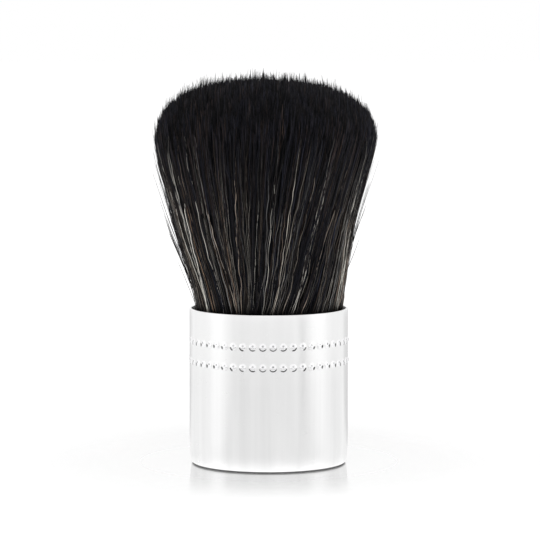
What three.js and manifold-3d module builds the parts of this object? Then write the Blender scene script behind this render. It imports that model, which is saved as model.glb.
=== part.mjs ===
// A nail dust brush: a short round brush whose flared hair tuft stands in a drawn aluminium cup.
// Millimetres, +Z up along the brush, with the origin at the centre of the cup's underside.
import * as THREE from "three";
import { mergeVertices } from "three/addons/utils/BufferGeometryUtils.js";
import Module from "manifold-3d";

const wasm = await Module();
wasm.setup();

// Driving dimensions of the brush
const brushHeight = 70;
const cupDiameter = 28.5;
const cupHeight = 28;
const tuftDiameter = 39.4;

// Drawn cup
const wallThickness = 0.4;
const floorThickness = 0.5;
const footHeight = 5.2; // the wall starts to draw in below this height
const footInset = 0.35; // how far it has drawn in at the floor
const footCorner = 0.6; // radius between wall and floor
const lipRound = 0.12; // broken edges of the cut rim
const wallSides = 100;

// Two rolled rows of raised beads
const beadRowHeights = [18.7, 22.35];
const beadsPerRow = 50;
const beadDiameter = 1.42;
const beadRise = 0.17;
const beadRoot = 0.06; // how deep a bead's foot sits in the wall
const beadSides = 6;
const beadPhase = THREE.MathUtils.degToRad(-86.9); // one bead stands just right of the front

// Pieces inside the cup
const fitGap = 0.1; // play of a glued or pressed fit
const ballastThickness = 4;
const ballastDiameter = 25;
const ballastChamfer = 0.6;
const insertWall = 0.5;
const insertFloor = 1.3;
const insertFloorHeight = 10.8; // underside of the floor that the hair stands over
const insertRimDrop = 1.1; // the insert's rim stays this far below the cup's rim
const insertRibs = 6;
const ribThickness = 1.2;
const hubRadius = 3.2;
const hubBore = 1.8;
const pottingThickness = 3.8;
const sliceThickness = 1.2; // hardened top layer of the potting, which the hair grows out of
const roundSides = 60;

// Binding cord round the foot of the hair
const cordDiameter = 0.5;
const cordTurns = 4;
const cordPitch = 1.0;
const cordSides = 6;
const stepsPerTurn = 24;

// Hair tuft
const hairRings = 10; // one strand in the middle and six more in each ring than in the last
const lastRingOfGroup = { hair_core: 4, hair_inner: 6, hair_middle: 8, hair_outer: 10 };
const knotRadius = 11.3; // outermost strand's line where the cord binds it
const mouthRadius = 12.5; // the same line where it leaves the cup
const flareSlope = 0.2275; // its lean above the cup
const headShift = -0.52; // the head of hair has settled this far to one side at its widest point
const domeRise = 10.4; // crown of the tuft above its widest point
const strandSides = 3;
const strandBands = 2; // lengths of a strand below its pointed end
const strandWidth = 0.42; // centre to corner, as a share of the gap between neighbours
const strandJitter = 0.05; // as a share of the same gap
const ringTurn = THREE.MathUtils.degToRad(137.5); // each ring is turned against the last, so no lanes show
const pointStart = 0.9; // share of the free length where a strand starts to point
const tipShortfall = 0.9; // how far below the crown the shortest tips end

// Heights and radii that follow from the dimensions above
const cupRadius = cupDiameter / 2;
const boreRadius = cupRadius - wallThickness;
const ballastBase = floorThickness + fitGap;
const insertBase = ballastBase + ballastThickness + fitGap;
const insertTop = cupHeight - insertRimDrop;
const insertRadius = boreRadius - fitGap;
const sleeveBore = insertRadius - insertWall;
const pottingBase = insertFloorHeight + insertFloor + fitGap;
const sliceBase = pottingBase + pottingThickness + fitGap;
const sliceTop = sliceBase + sliceThickness;
const knotTop = sliceTop + 5.5; // the hair stays bundled up to here
const shoulderHeight = brushHeight - domeRise;
const ringGap = knotRadius / hairRings;

// A closed geometry as a solid, with only its positions kept so that shared corners merge.
function solidOf(geometry) {
  const bare = geometry.clone();
  bare.deleteAttribute("normal");
  bare.deleteAttribute("uv");
  const merged = mergeVertices(bare);
  const vertProperties = new Float32Array(merged.attributes.position.array);
  const triVerts = new Uint32Array(merged.index.array);
  return new wasm.Manifold(new wasm.Mesh({ numProp: 3, vertProperties, triVerts }));
}

// A solid as a geometry with flat faces.
function geometryOf(solid) {
  const { vertProperties, triVerts } = solid.getMesh();
  const geometry = new THREE.BufferGeometry();
  geometry.setAttribute("position", new THREE.BufferAttribute(vertProperties, 3));
  geometry.setIndex(new THREE.BufferAttribute(triVerts, 1));
  const flat = geometry.toNonIndexed();
  flat.computeVertexNormals();
  return flat;
}

// A profile of [radius, height] pairs turned about the Z axis.
function turned(profile, sides) {
  const points = profile.map(([radius, height]) => new THREE.Vector2(radius, height));
  return new THREE.LatheGeometry(points, sides).rotateX(Math.PI / 2);
}

// Points of an arc in a profile, from one angle to another in degrees.
function arc(centreRadius, centreHeight, radius, fromDegrees, toDegrees, steps) {
  return Array.from({ length: steps + 1 }, (_, i) => {
    const angle = THREE.MathUtils.degToRad(THREE.MathUtils.lerp(fromDegrees, toDegrees, i / steps));
    return [centreRadius + radius * Math.cos(angle), centreHeight + radius * Math.sin(angle)];
  });
}

// How far the wall has drawn in at a height above the floor: a parabola that starts at the foot height.
function drawnIn(height) {
  const share = Math.max(0, (footHeight - height) / footHeight);
  return footInset * share * share;
}

// The wall's line at a few heights, at a distance inside the cup's outer face.
function wallLine(inside, fromHeight, toHeight, steps) {
  return Array.from({ length: steps + 1 }, (_, i) => {
    const height = THREE.MathUtils.lerp(fromHeight, toHeight, i / steps);
    return [cupRadius - inside - drawnIn(height), height];
  });
}

// The cup: flat floor, rounded foot, gently drawn-in wall and a cut rim with broken edges.
function cupShell() {
  const footRadius = cupRadius - drawnIn(footCorner) - footCorner;
  const innerCorner = 2 * footCorner;
  const innerFoot = cupRadius - wallThickness - drawnIn(floorThickness + innerCorner) - innerCorner;
  const outside = [
    [0, 0],
    ...arc(footRadius, footCorner, footCorner, -90, 0, 3),
    ...wallLine(0, footCorner, footHeight, 2).slice(1),
    ...arc(cupRadius - lipRound, cupHeight - lipRound, lipRound, 0, 90, 1),
  ];
  const inside = [
    ...arc(boreRadius + lipRound, cupHeight - lipRound, lipRound, 90, 180, 1),
    ...wallLine(wallThickness, footHeight, floorThickness + innerCorner, 2),
    ...arc(innerFoot, floorThickness + innerCorner, innerCorner, 0, -90, 2).slice(1),
    [0, floorThickness],
  ];
  return solidOf(turned([...outside, ...inside], wallSides));
}

// One bead: a low round cap that starts inside the wall and stands out of it along +X.
function beadCap() {
  const radius = beadDiameter / 2;
  const profile = [
    [0, -beadRoot],
    [radius + beadRoot, -beadRoot],
    [radius * 0.66, beadRise * 0.72],
    [0, beadRise],
  ];
  return turned(profile, beadSides).rotateY(Math.PI / 2).translate(cupRadius, 0, 0);
}

function cupWithBeads() {
  let cup = cupShell();
  for (const height of beadRowHeights) {
    for (let i = 0; i < beadsPerRow; i++) {
      const turn = beadPhase + (i * 2 * Math.PI) / beadsPerRow;
      cup = cup.add(solidOf(beadCap().rotateZ(turn).translate(0, 0, height)));
    }
  }
  return geometryOf(cup);
}

// Steel slug that weighs the cup down so that the brush stands by itself.
function ballastSlug() {
  const radius = ballastDiameter / 2;
  const top = ballastBase + ballastThickness;
  const profile = [
    [0, ballastBase],
    [radius - ballastChamfer, ballastBase],
    [radius, ballastBase + ballastChamfer],
    [radius, top - ballastChamfer],
    [radius - ballastChamfer, top],
    [0, top],
  ];
  return turned(profile, roundSides);
}

// Moulded insert: a sleeve and floor that take the hair knot, on a hub and ribs that stand on the slug.
function knotInsert() {
  const floorTop = insertFloorHeight + insertFloor;
  const sleeve = solidOf(
    turned(
      [
        [0, insertFloorHeight],
        [insertRadius - insertWall, insertFloorHeight],
        [insertRadius, insertFloorHeight + insertWall],
        [insertRadius, insertTop],
        [sleeveBore, insertTop],
        [sleeveBore, floorTop],
        [0, floorTop],
      ],
      roundSides,
    ),
  );
  const ribHeight = insertFloorHeight + insertFloor / 2 - insertBase;
  const ribLength = ballastDiameter / 2;
  const hub = new THREE.CylinderGeometry(hubRadius, hubRadius, ribHeight, roundSides / 2);
  const bore = new THREE.CylinderGeometry(hubBore, hubBore, ribHeight, roundSides / 2);
  const middle = insertBase + ribHeight / 2;
  const upright = (geometry, height) => solidOf(geometry.rotateX(Math.PI / 2).translate(0, 0, height));
  let insert = sleeve.add(upright(hub, middle));
  for (let i = 0; i < insertRibs; i++) {
    const rib = new THREE.BoxGeometry(ribLength, ribThickness, ribHeight);
    const turn = (i * 2 * Math.PI) / insertRibs;
    insert = insert.add(solidOf(rib.translate(ribLength / 2, 0, middle).rotateZ(turn)));
  }
  return geometryOf(insert.subtract(upright(bore, middle - insertFloor)));
}

// Hardened resin that the hair's feet are set in.
function pottingDisc() {
  const radius = sleeveBore - fitGap;
  const top = pottingBase + pottingThickness;
  const profile = [
    [0, pottingBase],
    [radius, pottingBase],
    [radius, top],
    [0, top],
  ];
  return turned(profile, roundSides);
}

// Helix of the binding cord, wound between the hair and the sleeve.
class CordHelix extends THREE.Curve {
  constructor(radius, base) {
    super();
    this.radius = radius;
    this.base = base;
  }

  getPoint(share, target = new THREE.Vector3()) {
    const angle = share * cordTurns * 2 * Math.PI;
    const height = this.base + share * cordTurns * cordPitch;
    return target.set(this.radius * Math.cos(angle), this.radius * Math.sin(angle), height);
  }
}

// The least clear gap between neighbouring turns of a helix, measured on its points.
function leastTurnGap(helix) {
  const points = helix.getPoints(cordTurns * stepsPerTurn);
  let least = Infinity;
  points.forEach((point, i) => {
    points.slice(i + stepsPerTurn / 2).forEach((other) => {
      least = Math.min(least, point.distanceTo(other));
    });
  });
  return least - cordDiameter;
}

function bindingCord() {
  const radius = sleeveBore - fitGap - cordDiameter / 2;
  const helix = new CordHelix(radius, sliceTop + fitGap + cordDiameter / 2);
  console.log("least gap between cord turns, mm:", leastTurnGap(helix).toFixed(3));
  const section = new THREE.Shape();
  for (let i = 0; i <= cordSides; i++) {
    const angle = (i * 2 * Math.PI) / cordSides;
    const x = (cordDiameter / 2) * Math.cos(angle);
    const y = (cordDiameter / 2) * Math.sin(angle);
    if (i === 0) section.moveTo(x, y);
    else section.lineTo(x, y);
  }
  return new THREE.ExtrudeGeometry(section, { steps: cordTurns * stepsPerTurn, extrudePath: helix });
}

// Radius of the outermost strand's line at a height: straight in the knot, eased out to the mouth,
// then flared.
function bundleRadius(height) {
  if (height >= cupHeight) return mouthRadius + flareSlope * (height - cupHeight);
  const share = THREE.MathUtils.smoothstep(height, knotTop - 4, cupHeight);
  return THREE.MathUtils.lerp(knotRadius, mouthRadius, share);
}

// Height where a strand at a share of the bundle's radius meets the crown, an ellipse over the widest point.
function crownHeight(share) {
  let height = shoulderHeight;
  for (let i = 0; i < 12; i++) {
    const reach = Math.min(1, (share * bundleRadius(height)) / (tuftDiameter / 2));
    height = shoulderHeight + domeRise * Math.sqrt(1 - reach * reach);
  }
  return height;
}

// A repeatable number from -1 to 1 for a strand and a use.
function scatter(strand, use) {
  const wave = Math.sin(strand * 12.9898 + use * 78.233) * 43758.5453;
  return 2 * (wave - Math.floor(wave)) - 1;
}

// Corners of one strand: a triangular ring at each end of its bands, and a pointed tip.
function strandCorners(ring, place) {
  const number = 1000 * ring + place;
  const jitter = ring === hairRings ? 0 : strandJitter;
  const share = Math.abs(ring + jitter * scatter(number, 1)) / hairRings;
  const step = (2 * Math.PI) / Math.max(1, 6 * ring);
  const angle = ring * ringTurn + step * (place + jitter * scatter(number, 2));
  const twist = Math.PI * scatter(number, 3);
  const crown = crownHeight(share);
  const tip = ring === 0 ? crown : crown - tipShortfall * Math.abs(scatter(number, 4));
  const foot = sliceTop - sliceThickness / 2;
  const mouth = cupHeight + fitGap;
  const heights = [foot, mouth, THREE.MathUtils.lerp(mouth, tip, pointStart)];
  const onLine = (height) => {
    const radius = share * bundleRadius(height);
    const climb = THREE.MathUtils.inverseLerp(mouth, shoulderHeight, height);
    const shift = headShift * THREE.MathUtils.clamp(climb, 0, 1);
    return new THREE.Vector3(shift + radius * Math.cos(angle), radius * Math.sin(angle), height);
  };
  const corners = heights.flatMap((height) => {
    const width = (strandWidth * ringGap * bundleRadius(height)) / knotRadius;
    return Array.from({ length: strandSides }, (_, i) => {
      const side = twist + (i * 2 * Math.PI) / strandSides;
      return onLine(height).add(new THREE.Vector3(width * Math.cos(side), width * Math.sin(side), 0));
    });
  });
  return [...corners, onLine(tip)];
}

// Triangles of one strand: its foot, the bands between its rings, and its tip.
function strandFaces(first) {
  const faces = [first, first + 2, first + 1];
  for (let band = 0; band < strandBands; band++) {
    const low = first + band * strandSides;
    const high = low + strandSides;
    for (let i = 0; i < strandSides; i++) {
      const next = (i + 1) % strandSides;
      faces.push(low + i, low + next, high + next, low + i, high + next, high + i);
    }
  }
  const last = first + strandBands * strandSides;
  for (let i = 0; i < strandSides; i++) {
    faces.push(last + i, last + ((i + 1) % strandSides), last + strandSides);
  }
  return faces;
}

// All strands of the rings of one group, as one geometry of separate closed strands.
function strandsOf(firstRing, lastRing) {
  const positions = [];
  const faces = [];
  for (let ring = firstRing; ring <= lastRing; ring++) {
    for (let place = 0; place < Math.max(1, 6 * ring); place++) {
      faces.push(...strandFaces(positions.length / 3));
      strandCorners(ring, place).forEach((corner) => positions.push(...corner));
    }
  }
  const geometry = new THREE.BufferGeometry();
  geometry.setAttribute("position", new THREE.Float32BufferAttribute(positions, 3));
  geometry.setIndex(faces);
  return geometry;
}

// A slice of the resin under one group of strands: a disc in the middle, a ring outside it.
function resinSlice(firstRing, lastRing) {
  const outer = (lastRing + 0.5) * ringGap - fitGap / 2;
  const inner = firstRing === 0 ? 0 : (firstRing - 0.5) * ringGap + fitGap / 2;
  const walls = [
    [outer, sliceBase],
    [outer, sliceTop],
  ];
  const profile = [[inner, sliceBase], ...walls, [inner, sliceTop]];
  if (firstRing > 0) profile.push([inner, sliceBase]);
  return turned(profile, roundSides);
}

function hairGroup(firstRing, lastRing) {
  const strands = solidOf(strandsOf(firstRing, lastRing));
  return geometryOf(solidOf(resinSlice(firstRing, lastRing)).add(strands));
}

// Finishes
const satinAluminium = new THREE.MeshStandardMaterial({ color: 0xdcdedf, metalness: 1, roughness: 0.34 });
const zincSteel = new THREE.MeshStandardMaterial({ color: 0x9a9c9f, metalness: 1, roughness: 0.45 });
const blackPlastic = new THREE.MeshStandardMaterial({ color: 0x101012, metalness: 0, roughness: 0.5 });
const resin = new THREE.MeshStandardMaterial({ color: 0x8d7440, metalness: 0, roughness: 0.25 });
const whiteCord = new THREE.MeshStandardMaterial({ color: 0xd8d2c4, metalness: 0, roughness: 0.8 });
const blackHair = new THREE.MeshStandardMaterial({ color: 0x1b191a, metalness: 0, roughness: 0.5 });

const brush = new THREE.Group();
function addPiece(name, geometry, material) {
  const mesh = new THREE.Mesh(geometry, material.clone());
  mesh.name = name;
  brush.add(mesh);
}

addPiece("ferrule_cup", cupWithBeads(), satinAluminium);
addPiece("ballast_slug", ballastSlug(), zincSteel);
addPiece("knot_insert", knotInsert(), blackPlastic);
addPiece("potting_disc", pottingDisc(), resin);
addPiece("binding_cord", bindingCord(), whiteCord);
let firstRing = 0;
for (const [name, lastRing] of Object.entries(lastRingOfGroup)) {
  addPiece(name, hairGroup(firstRing, lastRing), blackHair);
  firstRing = lastRing + 1;
}

export default brush;
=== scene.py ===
import math

import bpy
import numpy as np
from mathutils import Matrix


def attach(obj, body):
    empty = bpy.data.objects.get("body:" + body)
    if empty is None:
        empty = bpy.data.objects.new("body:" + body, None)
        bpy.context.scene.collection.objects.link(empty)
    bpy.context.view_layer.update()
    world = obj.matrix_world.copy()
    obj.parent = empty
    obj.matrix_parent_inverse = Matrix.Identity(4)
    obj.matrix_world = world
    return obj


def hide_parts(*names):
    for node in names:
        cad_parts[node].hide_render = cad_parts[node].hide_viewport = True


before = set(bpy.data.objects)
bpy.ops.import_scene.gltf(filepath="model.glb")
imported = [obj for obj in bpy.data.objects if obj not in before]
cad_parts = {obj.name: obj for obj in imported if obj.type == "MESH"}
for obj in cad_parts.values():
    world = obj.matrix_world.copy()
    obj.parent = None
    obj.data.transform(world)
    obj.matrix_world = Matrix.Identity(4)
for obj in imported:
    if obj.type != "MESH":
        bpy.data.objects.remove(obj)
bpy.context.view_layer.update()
mm = 0.001
rng = np.random.default_rng(41)
print("frame loaded:", ", ".join(sorted(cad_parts)))


# Helpers

def linearColour(hexText):
    # sRGB to linear light: c / 12.92 near black, else ((c + 0.055) / 1.055) ** 2.4
    channels = [int(hexText[i:i + 2], 16) / 255 for i in (1, 3, 5)]
    linear = [c / 12.92 if c <= 0.04045 else ((c + 0.055) / 1.055) ** 2.4 for c in channels]
    return (*linear, 1.0)


def addNode(tree, kind, settings=None, links=None):
    # a shader node with its settings, socket values and links, where a whole node means its first output
    node = tree.nodes.new("ShaderNode" + kind)
    for key, value in (settings or {}).items():
        if isinstance(key, str) and hasattr(node, key):
            setattr(node, key, value)
        else:
            node.inputs[key].default_value = value
    for key, source in (links or {}).items():
        output = source.outputs[0] if isinstance(source, bpy.types.Node) else source
        tree.links.new(output, node.inputs[key])
    return node


def newMaterial(name):
    # an empty material and its node tree
    material = bpy.data.materials.new(name)
    material.use_nodes = True
    material.node_tree.nodes.clear()
    return material, material.node_tree


def finishMaterial(material, shader):
    # what the shader gives becomes the surface
    addNode(material.node_tree, "OutputMaterial", links={"Surface": shader})
    return material


def fillRamp(ramp, stops):
    # stops are (place, hex colour) pairs
    elements = ramp.color_ramp.elements
    for _ in stops[2:]:
        elements.new(0.5)
    for element, (place, hexText) in zip(elements, stops):
        element.position = place
        element.color = linearColour(hexText)


def addObject(name, data):
    # an object in the scene, at the origin until it is aimed
    item = bpy.data.objects.new(name, data)
    bpy.context.scene.collection.objects.link(item)
    return item


def meshPiece(name, points, faceSets, material, replaces):
    # a smooth mesh on the root body: points in millimetres, faceSets are arrays of corner numbers,
    # with the same count of corners in every face of a set
    mesh = bpy.data.meshes.new(name)
    mesh.vertices.add(len(points))
    mesh.vertices.foreach_set("co", np.asarray(points * mm, np.float32).ravel())
    corners = np.concatenate([faces.ravel() for faces in faceSets])
    sizes = np.concatenate([np.full(len(faces), faces.shape[1]) for faces in faceSets])
    mesh.loops.add(len(corners))
    mesh.loops.foreach_set("vertex_index", corners.astype(np.int32))
    mesh.polygons.add(len(sizes))
    mesh.polygons.foreach_set("loop_start", (np.cumsum(sizes) - sizes).astype(np.int32))
    mesh.update(calc_edges=True)
    mesh.polygons.foreach_set("use_smooth", np.ones(len(sizes), bool))
    mesh.materials.append(material)
    piece = addObject(name, mesh)
    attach(piece, "root")
    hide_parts(*replaces)
    return piece


def setAttribute(piece, name, kind, values):
    # one value of the kind for each point
    field = {"FLOAT": "value", "FLOAT_VECTOR": "vector"}[kind]
    attribute = piece.data.attributes.new(name, kind, "POINT")
    attribute.data.foreach_set(field, np.asarray(values, np.float32).ravel())


def setCornerMap(piece, name, places):
    # a UV map with one place for each corner of each face
    layer = piece.data.uv_layers.new(name=name, do_init=False)
    layer.uv.foreach_set("vector", np.asarray(places, np.float32).ravel())


def smoothStep(low, high, x):
    # t * t * (3 - 2 * t), with t the share of the way from low to high
    t = np.clip((x - low) / (high - low), 0, 1)
    return t * t * (3 - 2 * t)


def unit(vectors):
    # each vector over its own length
    return vectors / np.linalg.norm(vectors, axis=-1, keepdims=True)


# Turned surfaces: a profile of (radius, height) rows carried round the axis

def roundAngles(columns):
    # equal steps of one turn
    return np.arange(columns) * 2 * np.pi / columns


def turnedGrid(profile, columns):
    # point(row, column) = (radius * cos a, radius * sin a, height), a = column / columns of a turn
    angle = roundAngles(columns)
    radius, height = profile[:, :1], profile[:, 1:]
    return np.stack(np.broadcast_arrays(radius * np.cos(angle), radius * np.sin(angle), height), -1)


def turnedFaces(rows, columns):
    # quads between neighbouring rings, and a fan from a pole to the first and to the last ring
    low = np.arange(rows - 1)[:, None] * columns
    high = low + columns
    here = np.arange(columns)
    after = (here + 1) % columns
    quads = np.stack([low + here, low + after, high + after, high + here], -1).reshape(-1, 4)
    firstPole = rows * columns
    top = (rows - 1) * columns
    firstFan = np.stack([np.full(columns, firstPole), after, here], -1)
    lastFan = np.stack([np.full(columns, firstPole + 1), top + here, top + after], -1)
    return quads, np.concatenate([firstFan, lastFan])


def gridMap(rows, columns):
    # the four corners of every quad between two rings, as shares of a turn and of the rows
    column, level = np.arange(columns), np.arange(rows - 1)
    across = np.stack([column, column + 1, column + 1, column], -1) / columns
    climb = np.stack([level, level, level + 1, level + 1], -1) / (rows - 1)
    return np.stack(np.broadcast_arrays(across[None], climb[:, None]), -1)


def arcRows(centreRadius, centreHeight, radius, fromDegrees, toDegrees, steps):
    # centre + radius * (cos a, sin a), with a in equal steps
    angle = np.radians(np.linspace(fromDegrees, toDegrees, steps))
    return np.stack([centreRadius + radius * np.cos(angle), centreHeight + radius * np.sin(angle)], -1)


# Materials

mixShare, mixFirst, mixSecond, mixColour = 0, 6, 7, 2  # sockets of a Mix node between two colours


def satinTurnedAluminium():
    # drawn aluminium, turned to a satin: fine rings round the cup draw every light out into an upright
    # streak, and the drawing has left faint upright grain and shallow waves; the upper wall is painted a
    # shade lighter, a painted highlight
    look = {"metal": "#f5f5f5", "dullMetal": "#ebebeb", "paintedLighterMetal": "#f6f6f6", "paintedDark": "#0d0d0e",
            "dullGrain": (0.3, 0.7), "paintedLighterHeight": (15.0, 22.0), "paintedLighterMost": 0.6,
            "roughness": 0.30, "ringRoughness": 0.10, "waveRoughness": 0.06,
            "anisotropy": 0.7, "ringBump": 0.10, "ringDepth": 0.02, "waveDepth": 0.012}
    # width in millimetres, scale along X, Y and Z, and noise of each pattern: rings are squeezed flat
    # along Z, grain and waves are drawn out along it, and all are coarser than real, so as to show
    patterns = {"ring": (0.22, (0.04, 0.04, 1.0), {"Detail": 3.0, "Roughness": 0.6}),
                "grain": (2.1, (1.0, 1.0, 0.03), {"Detail": 3.0}),
                "wave": (2.6, (1.0, 1.0, 0.06), {"Detail": 2.0})}
    material, tree = newMaterial("satinTurnedAluminium")
    place = addNode(tree, "TexCoord").outputs["Object"]
    noise = {}
    for name, (width, stretch, settings) in patterns.items():
        scale = [share / (width * mm) for share in stretch]
        stretched = addNode(tree, "Mapping", {"Scale": scale}, {"Vector": place})
        noise[name] = addNode(tree, "TexNoise", {"Scale": 1.0, **settings}, {"Vector": stretched})
    dullFrom, dullTo = look["dullGrain"]
    dulled = addNode(tree, "MapRange", {"From Min": dullFrom, "From Max": dullTo}, {"Value": noise["grain"]})
    height = addNode(tree, "SeparateXYZ", links={"Vector": place}).outputs["Z"]
    # painted highlight: the wall turns a shade lighter from 15 to 22 mm and stays so above
    paintedLighterFrom, paintedLighterTo = look["paintedLighterHeight"]
    paintedLighter = addNode(tree, "MapRange",
                     {"From Min": paintedLighterFrom * mm, "From Max": paintedLighterTo * mm, "To Max": look["paintedLighterMost"]},
                     {"Value": height})
    # painted shade under the beads and at the foot, and a painted dark reflection in each dimple
    paintedDarkShare = addNode(tree, "Attribute", {"attribute_name": "paintedDarkShare"}).outputs["Fac"]
    # over the clean metal, the dull grain, the painted highlight of the upper wall and the painted dark
    # marks, each where it shows
    under = {}
    for colour, shown in (("dullMetal", dulled), ("paintedLighterMetal", paintedLighter), ("paintedDark", paintedDarkShare)):
        metal = addNode(tree, "Mix", {"data_type": "RGBA", mixFirst: linearColour(look["metal"]),
                                      mixSecond: linearColour(look[colour])}, {mixShare: shown, **under})
        under = {mixFirst: metal.outputs[mixColour]}
    # noise swings about a half, so that the roughness swings about its own value
    smoothest = look["roughness"] - (look["ringRoughness"] + look["waveRoughness"]) / 2
    ringed = addNode(tree, "Math", {"operation": "MULTIPLY_ADD", 1: look["ringRoughness"], 2: smoothest},
                     {0: noise["ring"]})
    rough = addNode(tree, "Math", {"operation": "MULTIPLY_ADD", 1: look["waveRoughness"]},
                    {0: noise["wave"], 2: ringed})
    waved = addNode(tree, "Bump", {"Strength": 1.0, "Distance": look["waveDepth"] * mm},
                    {"Height": noise["wave"]})
    bump = addNode(tree, "Bump", {"Strength": look["ringBump"], "Distance": look["ringDepth"] * mm},
                   {"Height": noise["ring"], "Normal": waved})
    tangent = addNode(tree, "Tangent", {"direction_type": "UV_MAP", "uv_map": "turning"})
    shader = addNode(tree, "BsdfPrincipled",
                     {"Metallic": 1.0, "Anisotropic": look["anisotropy"], "Anisotropic Rotation": 0.25},
                     {"Base Color": metal.outputs[mixColour], "Roughness": rough,
                      "Normal": bump, "Tangent": tangent})
    return finishMaterial(material, shader)


def burnishedBead():
    # the raised dots are rubbed brighter and smoother than the wall, so each shows the room as a soft mirror
    look = {"metal": "#fafafb", "paintedDark": "#0d0d0e", "roughness": 0.19, "speckRoughness": 0.08,
            "speckSize": 0.3}
    material, tree = newMaterial("burnishedAluminiumBead")
    place = addNode(tree, "TexCoord").outputs["Object"]
    speck = addNode(tree, "TexNoise", {"Scale": 1 / (look["speckSize"] * mm)}, {"Vector": place})
    smoothest = look["roughness"] - look["speckRoughness"] / 2
    rough = addNode(tree, "Math", {"operation": "MULTIPLY_ADD", 1: look["speckRoughness"], 2: smoothest},
                    {0: speck})
    # painted shade in the crease round the bead and a painted dark reflection in its dimple
    paintedDarkShare = addNode(tree, "Attribute", {"attribute_name": "paintedDarkShare"}).outputs["Fac"]
    metal = addNode(tree, "Mix", {"data_type": "RGBA", mixFirst: linearColour(look["metal"]),
                                  mixSecond: linearColour(look["paintedDark"])}, {mixShare: paintedDarkShare})
    shader = addNode(tree, "BsdfPrincipled", {"Metallic": 1.0},
                     {"Base Color": metal.outputs[mixColour], "Roughness": rough})
    return finishMaterial(material, shader)


def dyedHair(name, look):
    # fine synthetic hair: each strand shows its own dye over near black, as far as its lightness says, which
    # also carries painted shade and painted highlights
    material, tree = newMaterial(name)
    strand = addNode(tree, "Attribute", {"attribute_name": "strand"})
    parts = addNode(tree, "SeparateXYZ", links={"Vector": strand.outputs["Vector"]})
    ramp = addNode(tree, "ValToRGB", links={"Fac": parts.outputs["X"]})
    fillRamp(ramp, look["dyes"])
    # the lightness lifts the dye over near black, painted shade and highlights included
    tint = addNode(tree, "Mix", {"data_type": "RGBA", mixFirst: linearColour(look["nearBlack"])},
                   {mixShare: parts.outputs["Y"], mixSecond: ramp})
    shader = addNode(tree, "BsdfPrincipled",
                     {"Roughness": look["roughness"], "Specular IOR Level": look["specular"], "IOR": 1.5},
                     {"Base Color": tint.outputs[mixColour]})
    return finishMaterial(material, shader)


def mottledMaterial(name, light, dark, patch, depth, roughness, metallic):
    # two near colours in soft patches, with a shallow bump of the same patches
    material, tree = newMaterial(name)
    place = addNode(tree, "TexCoord").outputs["Object"]
    noise = addNode(tree, "TexNoise", {"Scale": 1 / (patch * mm), "Detail": 4.0}, {"Vector": place})
    ramp = addNode(tree, "ValToRGB", links={"Fac": noise})
    fillRamp(ramp, [(0.35, dark), (0.65, light)])
    bump = addNode(tree, "Bump", {"Strength": 0.4, "Distance": depth * mm}, {"Height": noise})
    shader = addNode(tree, "BsdfPrincipled", {"Roughness": roughness, "Metallic": metallic},
                     {"Base Color": ramp, "Normal": bump})
    return finishMaterial(material, shader)


# Cup

cup = {
    "radius": 14.25, "height": 28.0, "wall": 0.4, "floor": 0.5, "lipRound": 0.14, "insideFrom": 0.6,
    "footHeight": 5.2, "footInset": 0.35, "footCorner": 0.6, "columns": 1000, "poleRing": 1.0,
    "beadRows": (18.7, 22.35), "beadsPerRow": 50, "beadRadius": 0.71, "beadRise": 0.15, "beadPhase": -86.9,
    "beadMargin": 0.15, "ringsPerBead": 22, "burnished": 0.93,
    # each dimple also holds a dark dot, a painted reflection
    "dimpleUp": 0.18, "dimpleRadius": 0.27, "dimpleDepth": 0.03, "dimpleFlat": 0.3, "paintedDotStrength": (0.3, 0.7),
    # the crease values set a ring of painted shade round each bead
    "creaseMiddle": 0.62, "creaseWidth": 0.125, "creaseGrowth": 3.4, "paintedCreaseShade": (0.8, 1.0),
    "creaseSwing": 1.9, "creaseMost": 1.25, "creaseArc": (0.3, 0.9), "arcTurn": 0.6,
    # the foot line is a painted shadow where the cup meets the floor
    "paintedFootShadow": (0.13, 0.28), "paintedFootShadowReach": 1.2, "nearly": 0.001,
}


def drawnIn(height):
    # a parabola: nothing at the foot height, the whole inset at the floor
    return cup["footInset"] * np.clip((cup["footHeight"] - height) / cup["footHeight"], 0, 1) ** 2


def wallRows(inside, heights):
    # the cup's radius less how far inside the outer face it is and how far the wall has drawn in
    return np.stack([cup["radius"] - inside - drawnIn(heights), heights], -1)


def cupProfile():
    # from the middle of the underside, round the foot, up the wall, over the lip and down the inside
    corner, lip, wall = cup["footCorner"], cup["lipRound"], cup["wall"]
    lipHeight = cup["height"] - lip
    footRadius = cup["radius"] - drawnIn(corner) - corner
    innerCorner = 2 * corner
    innerLevel = cup["floor"] + innerCorner
    innerFoot = cup["radius"] - wall - drawnIn(innerLevel) - innerCorner
    lowRow, highRow = cup["beadRows"]
    reach = cup["beadRadius"] + cup["beadMargin"]
    bands = [
        np.linspace(corner, cup["footHeight"], 7)[1:],
        np.linspace(cup["footHeight"], lowRow - reach, 5)[1:-1],
        np.linspace(lowRow - reach, lowRow + reach, cup["ringsPerBead"]),
        np.linspace(lowRow + reach, highRow - reach, 6)[1:-1],
        np.linspace(highRow - reach, highRow + reach, cup["ringsPerBead"]),
        np.linspace(highRow + reach, lipHeight, 5)[1:-1],
    ]
    return np.concatenate([
        np.linspace((cup["poleRing"], 0.0), (footRadius, 0.0), 5)[:-1],
        arcRows(footRadius, corner, corner, -90, 0, 7),
        wallRows(0, np.concatenate(bands)),
        arcRows(cup["radius"] - lip, lipHeight, lip, 0, 90, 5),
        arcRows(cup["radius"] - wall + lip, lipHeight, lip, 90, 180, 5),
        wallRows(wall, np.linspace(cup["height"] - cup["insideFrom"], innerLevel, 5)),
        arcRows(innerFoot, innerLevel, innerCorner, 0, -90, 4)[1:],
        np.linspace((innerFoot * 0.7, cup["floor"]), (cup["poleRing"], cup["floor"]), 2),
    ])


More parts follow.
